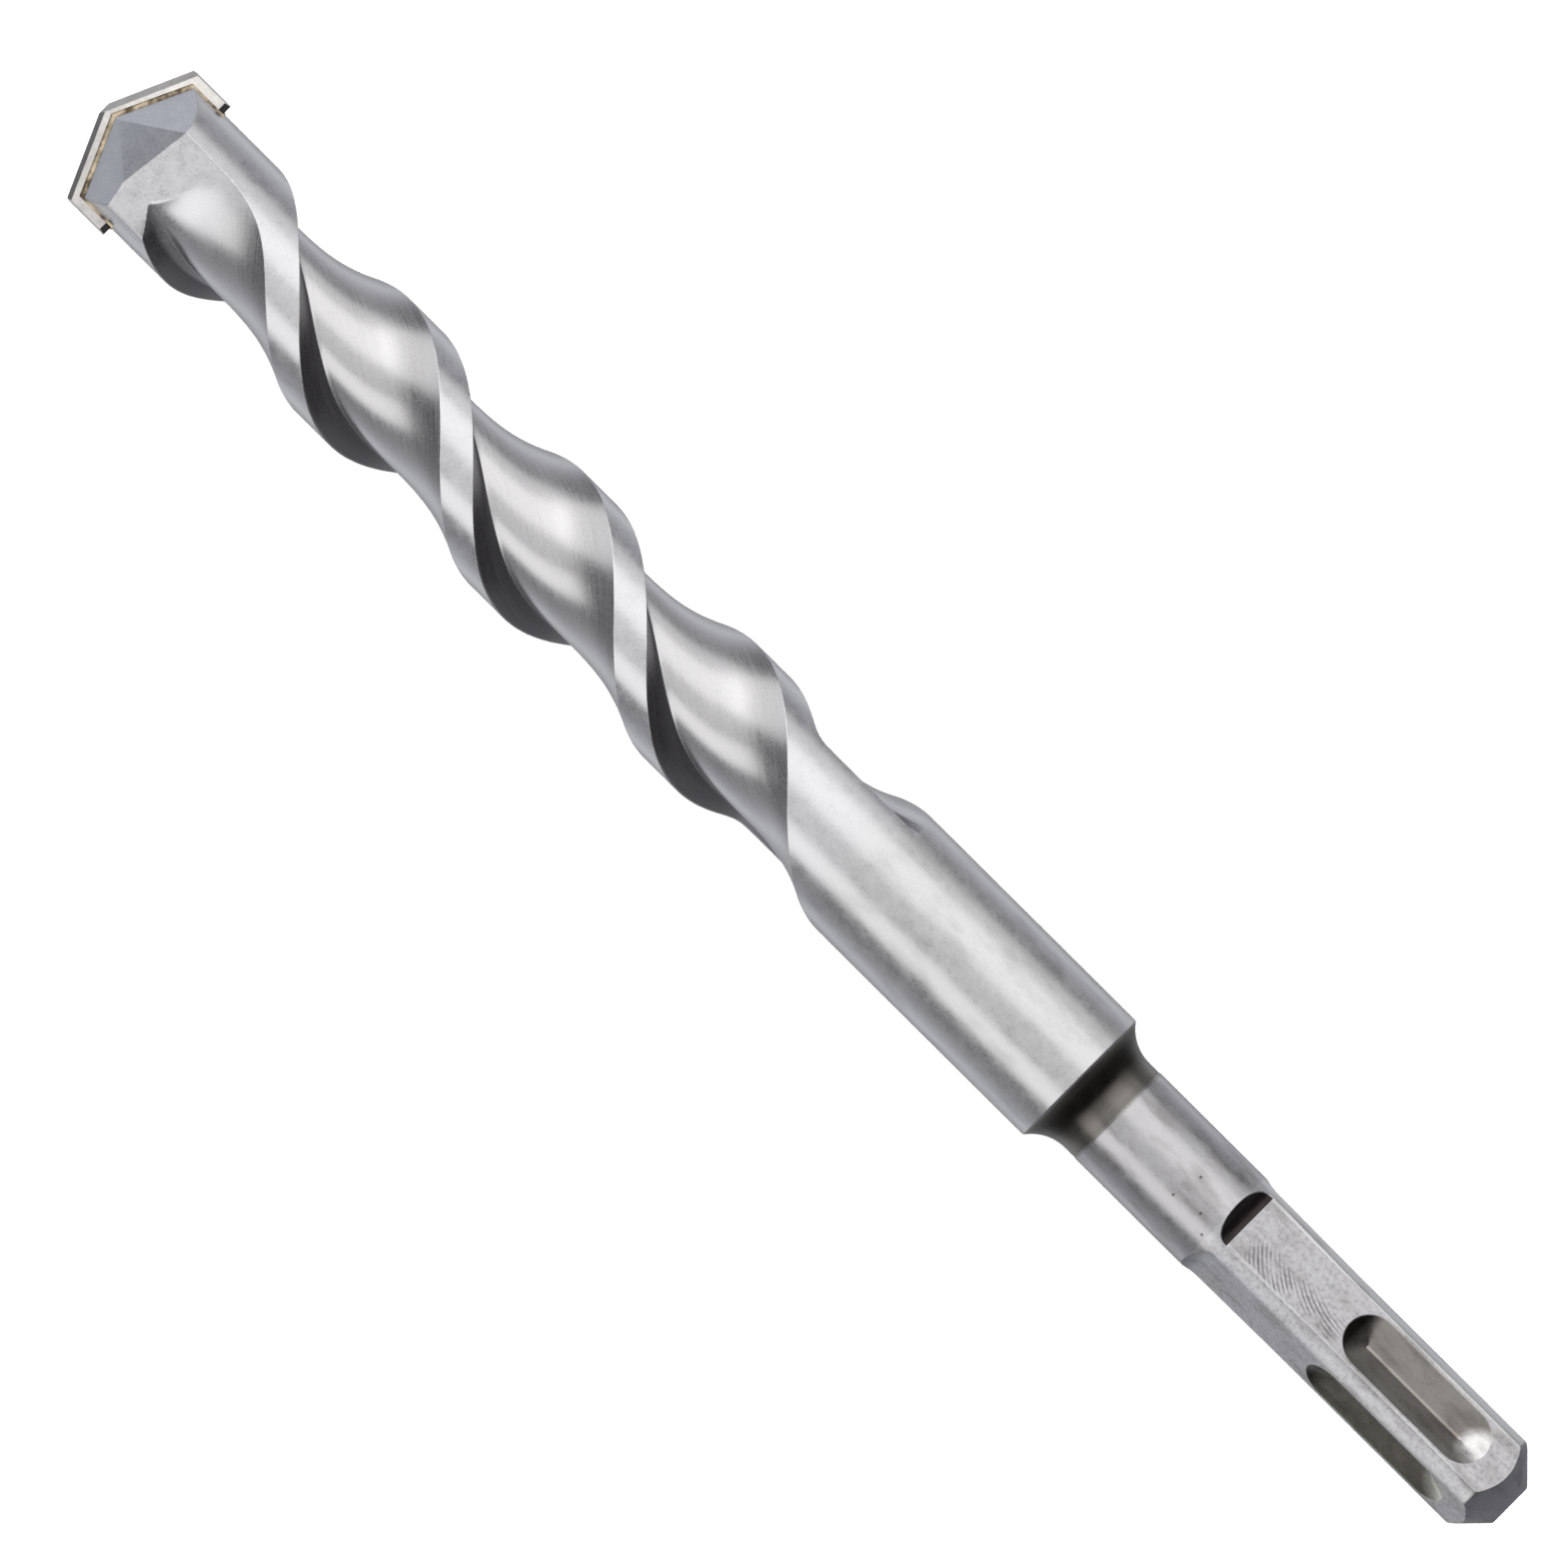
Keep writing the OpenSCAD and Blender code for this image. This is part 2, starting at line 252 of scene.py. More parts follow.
def body_bmesh(shank, form):
    """The bar as one closed skin: rings extruded from a circle and shaped to the turned and fluted outline."""
    wall = [0, 0.008, 0.018, 0.03, 0.045, 0.06, 0.075, 0.09, 0.105, 0.125]
    flute = wall + spread(0.15, 1, 38)
    flute += [1 - 0.0085]
    lands = spread(1 / 16, 1, 15)
    half = 1 + len(flute) + 1 + len(lands)
    count = 2 * half
    bm = bmesh.new()
    column = bm.verts.layers.int.new("column")
    turn = bm.verts.layers.float.new("turn")
    ring = bmesh.ops.create_circle(bm, cap_ends=False, segments=count, radius=1.0)["verts"]
    for i, v in enumerate(ring):
        v[column] = i

    def place(v, z, turned_r=None, even=0.0):
        i = v[column] % half
        other = 180 if v[column] >= half else 0
        a, b, land = form.edge_a(z), form.edge_b(z), form.land_edge(z)
        if i == 0:
            ang = land
        elif i <= len(flute):
            ang = a + flute[i - 1] * (b - a)
        elif i == len(flute) + 1:
            ang = b
        else:
            ang = b + lands[i - len(flute) - 2] * (land + 180 - b)
        if turned_r is None:
            r = form.r(z, ang) if i <= len(flute) + 1 else form.radius
        else:
            r = turned_r
            ang += even * (form.land_edge(form.start) + 180 * i / half - ang)
        v[turn] = ang + other - form.edge_a(z)
        t = math.radians(ang + other)
        v.co = (r * math.cos(t), r * math.sin(t), z)

    def extrude(edges):
        new = bmesh.ops.extrude_edge_only(bm, edges=edges)["geom"]
        return [v for v in new if isinstance(v, bmesh.types.BMVert)], [e for e in new if isinstance(e, bmesh.types.BMEdge)]

    rings = turned_rings(shank, form)
    edges = list(bm.edges)
    for v in ring:
        place(v, form.start, rings[0][1], 1.0)
        v.co.z = rings[0][0]
    first = edges
    for z, r in rings[1:]:
        verts, edges = extrude(edges)
        edges = [e for e in edges if e.is_boundary and all(v in set(verts) for v in e.verts)]
        for v in verts:
            place(v, form.start, r, 1.0)
            v.co.z = z
    for k in range(1, 15):
        z = form.start - 7 + k * 0.5
        verts, edges = extrude(edges)
        edges = [e for e in edges if e.is_boundary]
        for v in verts:
            place(v, form.start, form.radius, 1 - k / 14)
            v.co.z = z
    z = form.start
    while z < form.tip + 1.5:
        z += 0.12 if form.tip - 10.4 < z < form.tip - 8.2 else 0.3 if z > form.tip - 16 else 0.42
        verts, edges = extrude(edges)
        edges = [e for e in edges if e.is_boundary]
        for v in verts:
            place(v, z)
    wrap = bm.loops.layers.uv.new("wrap")
    for f in bm.faces:
        most = max(v[turn] for v in f.verts)
        for loop in f.loops:
            whole = 360 if most - loop.vert[turn] > 180 else 0
            loop[wrap].uv = (math.radians(loop.vert[turn] + whole) * form.radius * MM, loop.vert.co.z * MM)
    bmesh.ops.contextual_create(bm, geom=first)
    bmesh.ops.contextual_create(bm, geom=edges)
    bmesh.ops.recalc_face_normals(bm, faces=bm.faces)
    return bm


# planes of the steel point: height over the tip, tilt and turn
POINT_FACETS = [(0.3, 44.9, 27.9), (1.35, 55.6, -7.9), (0.46, 48.9, -22.5)]


def slice_off(bm, point, normal):
    """Cuts away what lies on the normal's side of a plane and closes the cut."""
    geom = bm.verts[:] + bm.edges[:] + bm.faces[:]
    cut = bmesh.ops.bisect_plane(bm, geom=geom, dist=1e-5, plane_co=point, plane_no=normal, clear_outer=True)["geom_cut"]
    edges = [e for e in cut if isinstance(e, bmesh.types.BMEdge) and e.is_boundary]
    if edges:
        bmesh.ops.holes_fill(bm, edges=edges, sides=0)


def cut_point(bm, tip, lift):
    """Grinds both halves of the steel point."""
    for half in (0, 180):
        for over, tilt, turn in POINT_FACETS:
            normal = Matrix.Rotation(math.radians(turn + half), 3, "Z") @ Matrix.Rotation(math.radians(tilt), 3, "Y") @ Vector((0, 0, 1))
            slice_off(bm, Vector((0, 0, tip + over + lift)), normal)


def block(low, high):
    """A box from its two corners."""
    bm = bmesh.new()
    bmesh.ops.create_cube(bm, size=1.0)
    low, high = Vector(low), Vector(high)
    bmesh.ops.scale(bm, vec=high - low, verts=bm.verts)
    bmesh.ops.translate(bm, vec=(low + high) / 2, verts=bm.verts)
    return bm


def flat_cutter(shank, form):
    """What one flat and its round run-out take away, on the +X side."""
    half, end = mm(shank.across_flats) / 2, mm(shank.flats_length)
    r = mm(shank.runout_r)
    bm = block((half, -6, -1), (half + 4, 6, end))
    top = [f for f in bm.faces if f.normal.z > 0.9][0]
    steps = 14
    reach = math.degrees(math.acos(1 - 1.9 / r))
    for i in range(1, steps + 1):
        a = math.radians(reach * i / steps)
        new = bmesh.ops.extrude_face_region(bm, geom=[top])["geom"]
        old = top
        top = [f for f in new if isinstance(f, bmesh.types.BMFace)][0]
        if old.is_valid:
            bmesh.ops.delete(bm, geom=[old], context="FACES_ONLY")
        for v in top.verts:
            v.co.z = end + r * math.sin(a)
            if v.co.x < half + 3:
                v.co.x = half + r * (1 - math.cos(a))
    bmesh.ops.recalc_face_normals(bm, faces=bm.faces)
    return bm


def pocket_cutter(shank):
    """What one pocket takes away, on the +X side: a cone-shaped groove with round ends."""
    half, deep = mm(shank.across_flats) / 2, mm(shank.pocket_depth)
    wide, floor = mm(shank.pocket_w) / 2, mm(shank.pocket_floor) / 2
    low = mm(shank.pocket_start) + wide
    run = mm(shank.pocket_length) - 2 * wide
    over = 0.3
    bm = bmesh.new()
    ring = bmesh.ops.create_circle(bm, cap_ends=True, segments=64, radius=1.0)["verts"]
    far = {v for v in ring if v.co.x > 1e-6}
    top = list(bm.faces)
    extruded = bmesh.ops.extrude_face_region(bm, geom=top)["geom"]
    upper = [v for v in extruded if isinstance(v, bmesh.types.BMVert)]
    bottom_r, top_r = floor, wide + over * (wide - floor) / deep

    def put(v, r, height):
        z = low + v.co.x * r + (run if v.co.x > 1e-6 else 0)
        v.co = (half - deep + height, v.co.y * r, z)

    lower = [v for v in bm.verts if v not in set(upper)]
    for v in upper:
        put(v, top_r, deep + over)
    for v in lower:
        put(v, bottom_r, 0)
    bmesh.ops.recalc_face_normals(bm, faces=bm.faces)
    return bm


def turned(bm, degrees):
    bmesh.ops.rotate(bm, cent=(0, 0, 0), matrix=Matrix.Rotation(math.radians(degrees), 3, "Z"), verts=bm.verts)
    return bm


def as_object(bm, name):
    mesh = bpy.data.meshes.new(name)
    bm.to_mesh(mesh)
    bm.free()
    obj = bpy.data.objects.new(name, mesh)
    bpy.context.scene.collection.objects.link(obj)
    return obj


def carve(obj, cutters, operation="DIFFERENCE"):
    """Takes each cutter from the object for good, and removes the cutters."""
    for bm in cutters:
        tool = as_object(bm, "cutter")
        mod = obj.modifiers.new("carve", "BOOLEAN")
        mod.operation, mod.solver, mod.object = operation, "EXACT", tool
        graph = bpy.context.evaluated_depsgraph_get()
        graph.update()
        carved = bpy.data.meshes.new_from_object(obj.evaluated_get(graph))
        obj.modifiers.clear()
        old, obj.data = obj.data, carved
        bpy.data.meshes.remove(old)
        bpy.data.objects.remove(tool)


def lay_down(obj, name, material, sharp=24):
    """Turns a shape built along Z into the lying drill, smooths it but for its edges, and gives it its material."""
    bm = bmesh.new()
    bm.from_mesh(obj.data)
    bmesh.ops.remove_doubles(bm, verts=bm.verts, dist=0.0005)
    bmesh.ops.dissolve_degenerate(bm, edges=bm.edges, dist=0.0005)
    bmesh.ops.transform(bm, matrix=LYING, verts=bm.verts)
    bmesh.ops.recalc_face_normals(bm, faces=bm.faces)
    for f in bm.faces:
        f.smooth = True
        f.material_index = 0
    for e in bm.edges:
        e.smooth = len(e.link_faces) == 2 and e.calc_face_angle(0) < math.radians(sharp)
    bm.to_mesh(obj.data)
    bm.free()
    obj.name = obj.data.name = name
    obj.data.materials.clear()
    obj.data.materials.append(material)
    return obj


# ---------------------------------------------------------------- materials


def shader(name, colour_value, metallic, roughness):
    """A material with its shader node and a helper to add and join nodes."""
    material = bpy.data.materials.new(name)
    material.use_nodes = True
    tree = material.node_tree
    bsdf = tree.nodes["Principled BSDF"]
    bsdf.inputs["Base Color"].default_value = (*colour_value, 1)
    bsdf.inputs["Metallic"].default_value = metallic
    bsdf.inputs["Roughness"].default_value = roughness

    return material, tree, bsdf, adder(tree)


def adder(tree):
    """A helper that adds a node, with its inputs set or linked by name."""

    def add(kind, inputs=None, **settings):
        node = tree.nodes.new(kind)
        for key, value in settings.items():
            setattr(node, key, value)
        for key, value in (inputs or {}).items():
            if isinstance(value, bpy.types.NodeSocket):
                tree.links.new(value, node.inputs[key])
            else:
                node.inputs[key].default_value = value
        return node

    return add


def ramp(add, fac, stops):
    node = add("ShaderNodeValToRGB", {"Fac": fac})
    elements = node.color_ramp.elements
    while len(elements) < len(stops):
        elements.new(0.5)
    for element, (pos, value) in zip(elements, stops):
        element.position = pos
        element.color = (*value, 1) if len(value) == 3 else value
    return node.outputs["Color"]


def within(add, value, low, high, soft):
    """1 where a value lies between two limits, 0 outside, with soft ends."""
    up = add("ShaderNodeMapRange", {"Value": value, "From Min": low - soft, "From Max": low + soft}).outputs["Result"]
    down = add("ShaderNodeMapRange", {"Value": value, "From Min": high + soft, "From Max": high - soft}).outputs["Result"]
    return add("ShaderNodeMath", {0: up, 1: down}, operation="MULTIPLY").outputs[0]


def times(add, first, second):
    return add("ShaderNodeMath", {0: first, 1: second}, operation="MULTIPLY").outputs[0]


def tinted(add, colour_socket, mask, tone):
    """Multiplies a colour by a tone where the mask is 1."""
    mix = add("ShaderNodeMix", data_type="RGBA", blend_type="MULTIPLY")
    mix.inputs[7].default_value = (*tone, 1)
    for index, socket in ((0, mask), (6, colour_socket)):
        mix.id_data.links.new(socket, mix.inputs[index])
    return mix.outputs[2]


# small pits in the ground surface, in millimetres
PITS = ((37.3, -1.24, 4.84), (37.9, 1.4, 4.8), (33.9, 2.07, 4.55), (132.1, -2.56, 4.1), (35.2, 0.9, 4.92))
# centre of the rings that the cutter left on the flat that faces up, and their spacing
CUTTER_CENTRE, CUTTER_STEP = (19.75, -8.17, 1.0), 0.37


def steel_material(colours, shank):
    material, tree, bsdf, add = shader("ground_steel", colours.steel, 1.0, 0.3)
    coords = add("ShaderNodeTexCoord").outputs["Object"]
    place = add("ShaderNodeSeparateXYZ", {0: coords})
    x = place.outputs["X"]
    across = add("ShaderNodeVectorMath", {0: coords, 1: (0, 1, 1)}, operation="MULTIPLY").outputs["Vector"]
    r = add("ShaderNodeVectorMath", {0: across}, operation="LENGTH").outputs["Value"]

    speckle = add("ShaderNodeTexNoise", {"Vector": coords, "Scale": 4200.0, "Detail": 2.0}).outputs["Fac"]
    mottle = add("ShaderNodeTexNoise", {"Vector": coords, "Scale": 900.0, "Detail": 5.0}).outputs["Fac"]
    wrap = add("ShaderNodeUVMap", uv_map="wrap").outputs["UV"]
    drawn = add("ShaderNodeMapping", {"Vector": wrap, "Scale": (7000.0, 250.0, 1.0)}).outputs["Vector"]
    lines = add("ShaderNodeTexNoise", {"Vector": drawn, "Scale": 1.0, "Detail": 4.0}).outputs["Fac"]
    fluted = times(add, within(add, x, 0.0745, 0.2, 0.001), within(add, r, 0.0, 0.00655, 0.00004))
    helical = times(add, fluted, within(add, x, 0.0745, 0.1515, 0.0025))
    lines = add("ShaderNodeMix", {0: helical, 2: mottle, 3: lines}).outputs[0]
    share = add("ShaderNodeMapRange", {"Value": helical, "To Min": 0.55, "To Max": 0.66}).outputs["Result"]
    even = add("ShaderNodeMix", {0: share, 2: speckle, 3: lines}).outputs[0]
    c = colours.steel
    tint = ramp(add, even, [(0.3, tuple(v * 0.88 for v in c)), (0.5, tuple(c)), (0.7, tuple(min(1, v * 1.1) for v in c))])

    squared = add("ShaderNodeVectorRotate", {"Vector": coords, "Angle": -shank.flats_turn}, rotation_type="X_AXIS").outputs["Vector"]
    squared = add("ShaderNodeVectorMath", {0: squared}, operation="ABSOLUTE").outputs["Vector"]
    squared = add("ShaderNodeSeparateXYZ", {0: squared})
    off = add("ShaderNodeMath", {0: squared.outputs["Y"], 1: squared.outputs["Z"]}, operation="MAXIMUM").outputs[0]
    half = shank.across_flats / 2
    chamfer = (shank.shank_d - shank.end_face_d) / 2
    y = place.outputs["Y"]
    rear = within(add, x, 0.0015, shank.flats_length, 0.00005)
    inside = within(add, r, 0.0, 0.00478, 0.00003)
    flat = times(add, times(add, rear, inside), within(add, off, half - 0.00003, half + 0.001, 0.00002))
    # Corner strips beside the flats, kept to one side by y: painted shade on that side only.
    corner = times(add, within(add, x, chamfer, 0.033, 0.0008), within(add, r, 0.00482, 0.006, 0.00003))
    corner = times(add, corner, within(add, y, -0.0005, 0.01, 0.0015))
    pocket = times(add, times(add, rear, inside), within(add, off, 0.0, half - 0.00004, 0.00003))
    pocket = times(add, pocket, within(add, x, 0.0042, 0.0205, 0.00005))
    # Painted shade: the front end wall of every pocket, near black.
    pocket_end_shade = times(add, pocket, within(add, x, 0.0187, 0.021, 0.0006))
    # Painted highlight: a light spot at the rear end of every pocket, in place of a glint.
    mid = add("ShaderNodeMath", {0: squared.outputs["Y"], 1: squared.outputs["Z"]}, operation="MINIMUM").outputs[0]
    pocket_glint = add("ShaderNodeCombineXYZ", {"X": x, "Y": mid, "Z": off}).outputs["Vector"]
    pocket_glint = add("ShaderNodeVectorMath", {0: pocket_glint, 1: (0.0053, 0.0, half - 0.0004)}, operation="DISTANCE").outputs["Value"]
    pocket_glint = times(add, pocket, within(add, pocket_glint, -1.0, 0.00155, 0.0005))
    # Run-out walls at the ends of the flats: painted shade, near black below y of 2.4 mm and lighter above it.
    runout = times(add, within(add, x, shank.flats_length, 0.0345, 0.00002), within(add, r, 0.0, 0.00492, 0.00003))
    runout_side_shade = times(add, runout, within(add, y, 0.0024, 0.006, 0.0003))
    runout = times(add, runout, within(add, y, -0.006, 0.0024, 0.0003))
    plain = within(add, x, 0.0335, 0.0457, 0.0001)
    neck = times(add, within(add, x, 0.0457, 0.0501, 0.0002), within(add, r, 0.0, 0.0066, 0.00003))
    # Painted shade in the fillet where the neck meets the collar.
    collar_crease_shade = times(add, within(add, x, 0.0474, 0.0501, 0.0008), within(add, r, 0.0, 0.0066, 0.00003))
    # Painted shade: a dark band along each flute's steep wall, widened towards the head.
    turn = add("ShaderNodeSeparateXYZ", {0: wrap}).outputs["X"]
    wall_shade = add("ShaderNodeMath", {0: turn, 1: math.pi * BODY[1].z}, operation="MODULO").outputs[0]
    closer = add("ShaderNodeMapRange", {"Value": x, "From Min": 0.141, "From Max": 0.153, "To Max": 0.0011}).outputs["Result"]
    wall_shade = add("ShaderNodeMath", {0: wall_shade, 1: closer}, operation="ADD").outputs[0]
    wall_shade = times(add, within(add, wall_shade, 0.0, 0.00155, 0.0001), within(add, x, 0.0, 0.1546, 0.0008))
    end = within(add, x, -0.001, chamfer, 0.00003)
    end = add("ShaderNodeMath", {0: end, 1: flat}, operation="SUBTRACT").outputs[0]
    lands = times(add, within(add, x, 0.0765, 0.2, 0.003), within(add, r, 0.00661, 0.01, 0.00002))
    for mask, tone in (
        (flat, (0.82, 0.815, 0.825)),
        # painted shade on one side's corner strips
        (corner, (0.72, 0.72, 0.74)),
        (pocket, (0.52, 0.5, 0.455)),
        # painted shade on the pockets at the +Y side
        (times(add, pocket, within(add, y, 0.0025, 0.01, 0.0005)), (0.74, 0.74, 0.66)),
        # painted shade at the pockets' front ends
        (pocket_end_shade, (0.13, 0.12, 0.11)),
        # painted highlight in the pockets
        (pocket_glint, (3.1, 3.2, 3.45)),
        # painted shade on the run-out walls, both sides
        (runout, (0.07, 0.06, 0.06)),
        (runout_side_shade, (0.62, 0.62, 0.64)),
        (plain, (0.81, 0.805, 0.815)),
        (neck, (0.31, 0.3, 0.27)),
        # painted shade in the neck's fillet
        (collar_crease_shade, (0.26, 0.25, 0.24)),
        (lands, (1.08, 1.085, 1.1)),
        (fluted, (1.17, 1.18, 1.2)),
        # painted shade on the flutes' steep walls
        (times(add, fluted, wall_shade), (0.4, 0.39, 0.4)),
        (helical, (0.85, 0.84, 0.83)),
        (end, (0.55, 0.55, 0.57)),
    ):
        tint = tinted(add, tint, mask, tone)

    far = add("ShaderNodeVectorMath", {0: coords, 1: tuple(v * MM for v in CUTTER_CENTRE)}, operation="DISTANCE").outputs["Value"]
    wave = add("ShaderNodeMath", {0: times(add, far, 2 * math.pi / (CUTTER_STEP * MM))}, operation="SINE").outputs[0]
    wave = add("ShaderNodeMapRange", {"Value": wave, "From Min": -0.2, "From Max": 1.0}).outputs["Result"]
    marked = times(add, times(add, flat, within(add, x, 0.0202, 0.0302, 0.0008)), within(add, y, -0.0011, 0.0014, 0.0006))
    patch = add("ShaderNodeTexNoise", {"Vector": coords, "Scale": 420.0, "Detail": 2.0}).outputs["Fac"]
    patch = add("ShaderNodeMapRange", {"Value": patch, "From Min": 0.42, "From Max": 0.58}).outputs["Result"]
    wave = times(add, wave, times(add, marked, patch))
    tint = tinted(add, tint, wave, (0.42, 0.42, 0.43))
    streaks = add("ShaderNodeMapping", {"Vector": coords, "Scale": (220.0, 700.0, 700.0)}).outputs["Vector"]
    streaks = add("ShaderNodeTexNoise", {"Vector": streaks, "Scale": 1.0, "Detail": 5.0}).outputs["Fac"]
    worn = add("ShaderNodeMapRange", {"Value": streaks, "From Min": 0.48, "From Max": 0.68}).outputs["Result"]
    tint = tinted(add, tint, times(add, worn, within(add, x, -1.0, 0.047, 0.001)), (0.7, 0.69, 0.68))
    tint = tinted(add, tint, times(add, worn, within(add, x, 0.047, 0.0765, 0.001)), (0.86, 0.86, 0.86))
    rust = add("ShaderNodeTexNoise", {"Vector": coords, "Scale": 2600.0, "Detail": 2.0}).outputs["Fac"]
    fleck = add("ShaderNodeMapRange", {"Value": rust, "From Min": 0.52, "From Max": 0.66}).outputs["Result"]
    shine = add("ShaderNodeMapRange", {"Value": rust, "From Min": 0.46, "From Max": 0.34}).outputs["Result"]
    milling = add("ShaderNodeMath", {0: flat, 1: corner}, operation="ADD").outputs[0]
    tint = tinted(add, tint, times(add, fleck, milling), (0.8, 0.79, 0.8))
    tint = tinted(add, tint, times(add, shine, milling), (1.1, 1.1, 1.1))

    for pit in PITS:
        near = add("ShaderNodeVectorMath", {0: coords, 1: tuple(v * MM for v in pit)}, operation="DISTANCE").outputs["Value"]
        spot = add("ShaderNodeMapRange", {"Value": near, "From Min": 0.00017, "From Max": 0.00008}).outputs["Result"]
        tint = tinted(add, tint, spot, (0.3, 0.29, 0.28))
    edge = add("ShaderNodeBevel", {"Radius": 0.00009}, samples=6).outputs["Normal"]
    plain_normal = add("ShaderNodeNewGeometry").outputs["Normal"]
    # Painted highlight: every sharp edge lightened, patchily by the mottle.
    edge_glint = add("ShaderNodeVectorMath", {0: edge, 1: plain_normal}, operation="DOT_PRODUCT").outputs["Value"]
    edge_glint = add("ShaderNodeMapRange", {"Value": edge_glint, "From Min": 0.99, "From Max": 0.93}).outputs["Result"]
    uneven = add("ShaderNodeMapRange", {"Value": mottle, "From Min": 0.4, "From Max": 0.6, "To Min": 0.25}).outputs["Result"]
    tint = tinted(add, tint, times(add, edge_glint, uneven), (1.75, 1.76, 1.78))
    tree.links.new(tint, bsdf.inputs["Base Color"])

    rough = add("ShaderNodeMapRange", {"Value": even, "From Min": 0.3, "From Max": 0.7, "To Min": 0.22, "To Max": 0.38}).outputs["Result"]
    milled = add("ShaderNodeMath", {0: flat, 1: 0.12}, operation="MULTIPLY").outputs[0]
    rough = add("ShaderNodeMath", {0: rough, 1: milled}, operation="ADD").outputs[0]
    tree.links.new(rough, bsdf.inputs["Roughness"])
    height = add("ShaderNodeMath", {0: even, 1: wave}, operation="SUBTRACT").outputs[0]
    bump = add("ShaderNodeBump", {"Strength": 0.25, "Distance": 0.00002, "Height": height, "Normal": edge}).outputs["Normal"]
    tree.links.new(bump, bsdf.inputs["Normal"])
    return material


def carbide_material(colours):
    material, tree, bsdf, add = shader("ground_carbide", colours.carbide, 0.85, 0.42)
    coords = add("ShaderNodeTexCoord").outputs["Object"]
    speckle = add("ShaderNodeTexNoise", {"Vector": coords, "Scale": 3200.0, "Detail": 6.0}).outputs["Fac"]
    cloud = add("ShaderNodeTexNoise", {"Vector": coords, "Scale": 700.0, "Detail": 3.0}).outputs["Fac"]
    both = add("ShaderNodeMath", {0: speckle, 1: cloud}, operation="ADD").outputs[0]
    half = add("ShaderNodeMath", {0: both, 1: 0.5}, operation="MULTIPLY").outputs[0]
    c = colours.carbide
    tint = ramp(add, half, [(0.35, tuple(x * 0.8 for x in c)), (0.65, tuple(min(1, x * 1.12) for x in c))])
    # Painted shade on the faces marked dark: the ground edge lands and rear chamfers.
    tint = tinted(add, tint, add("ShaderNodeAttribute", attribute_name="dark").outputs["Fac"], (0.12, 0.11, 0.12))
    tree.links.new(tint, bsdf.inputs["Base Color"])
    rough = add("ShaderNodeMapRange", {"Value": speckle, "To Min": 0.36, "To Max": 0.5}).outputs["Result"]
    tree.links.new(rough, bsdf.inputs["Roughness"])
    bump = add("ShaderNodeBump", {"Strength": 0.3, "Distance": 0.00001, "Height": speckle}).outputs["Normal"]
    tree.links.new(bump, bsdf.inputs["Normal"])
    return material


def braze_material(colours):
    material, tree, bsdf, add = shader("dull_braze", colours.braze, 0.9, 0.45)
    coords = add("ShaderNodeTexCoord").outputs["Object"]
    cloud = add("ShaderNodeTexNoise", {"Vector": coords, "Scale": 900.0, "Detail": 5.0}).outputs["Fac"]
    c = colours.braze
    tint = ramp(add, cloud, [(0.4, (0.1, 0.075, 0.05)), (0.55, tuple(x * 0.75 for x in c)), (0.72, tuple(min(1, x * 1.1) for x in c))])
    tree.links.new(tint, bsdf.inputs["Base Color"])
    rough = add("ShaderNodeMapRange", {"Value": cloud, "To Min": 0.6, "To Max": 0.35}).outputs["Result"]
    tree.links.new(rough, bsdf.inputs["Roughness"])
    bump = add("ShaderNodeBump", {"Strength": 0.6, "Distance": 0.00004, "Height": cloud}).outputs["Normal"]
    tree.links.new(bump, bsdf.inputs["Normal"])
    return material


# ---------------------------------------------------------------- operators


class DRILL_OT_body(Operator):
    """Build the steel body with its shank, collar, flutes and point"""

    bl_idname = "drill.body"
    bl_label = "Steel Body"

    def execute(self, context):
        scene = context.scene
        shank, plate = scene.drill_shank, scene.drill_plate
        form = FluteForm(shank, scene.drill_flutes)
        bm = body_bmesh(shank, form)
        cut_point(bm, form.tip, 0)
        obj = as_object(bm, "drill_skin")
        wide = mm(plate.thick) / 2 + mm(plate.braze)
        low = form.tip - mm(plate.high) - mm(plate.braze)
        cutters = [block((-wide, -10, low), (wide, 10, low + 20))]
        for i in range(4):
            turn = math.degrees(shank.flats_turn) + 90 * i
            cutters += [turned(flat_cutter(shank, form), turn), turned(pocket_cutter(shank), turn)]
        carve(obj, cutters)
        lay_down(obj, "drill_body_finish", steel_material(scene.drill_colours, shank))
        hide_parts("drill_body")
        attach(obj, "root")
        return {"FINISHED"}


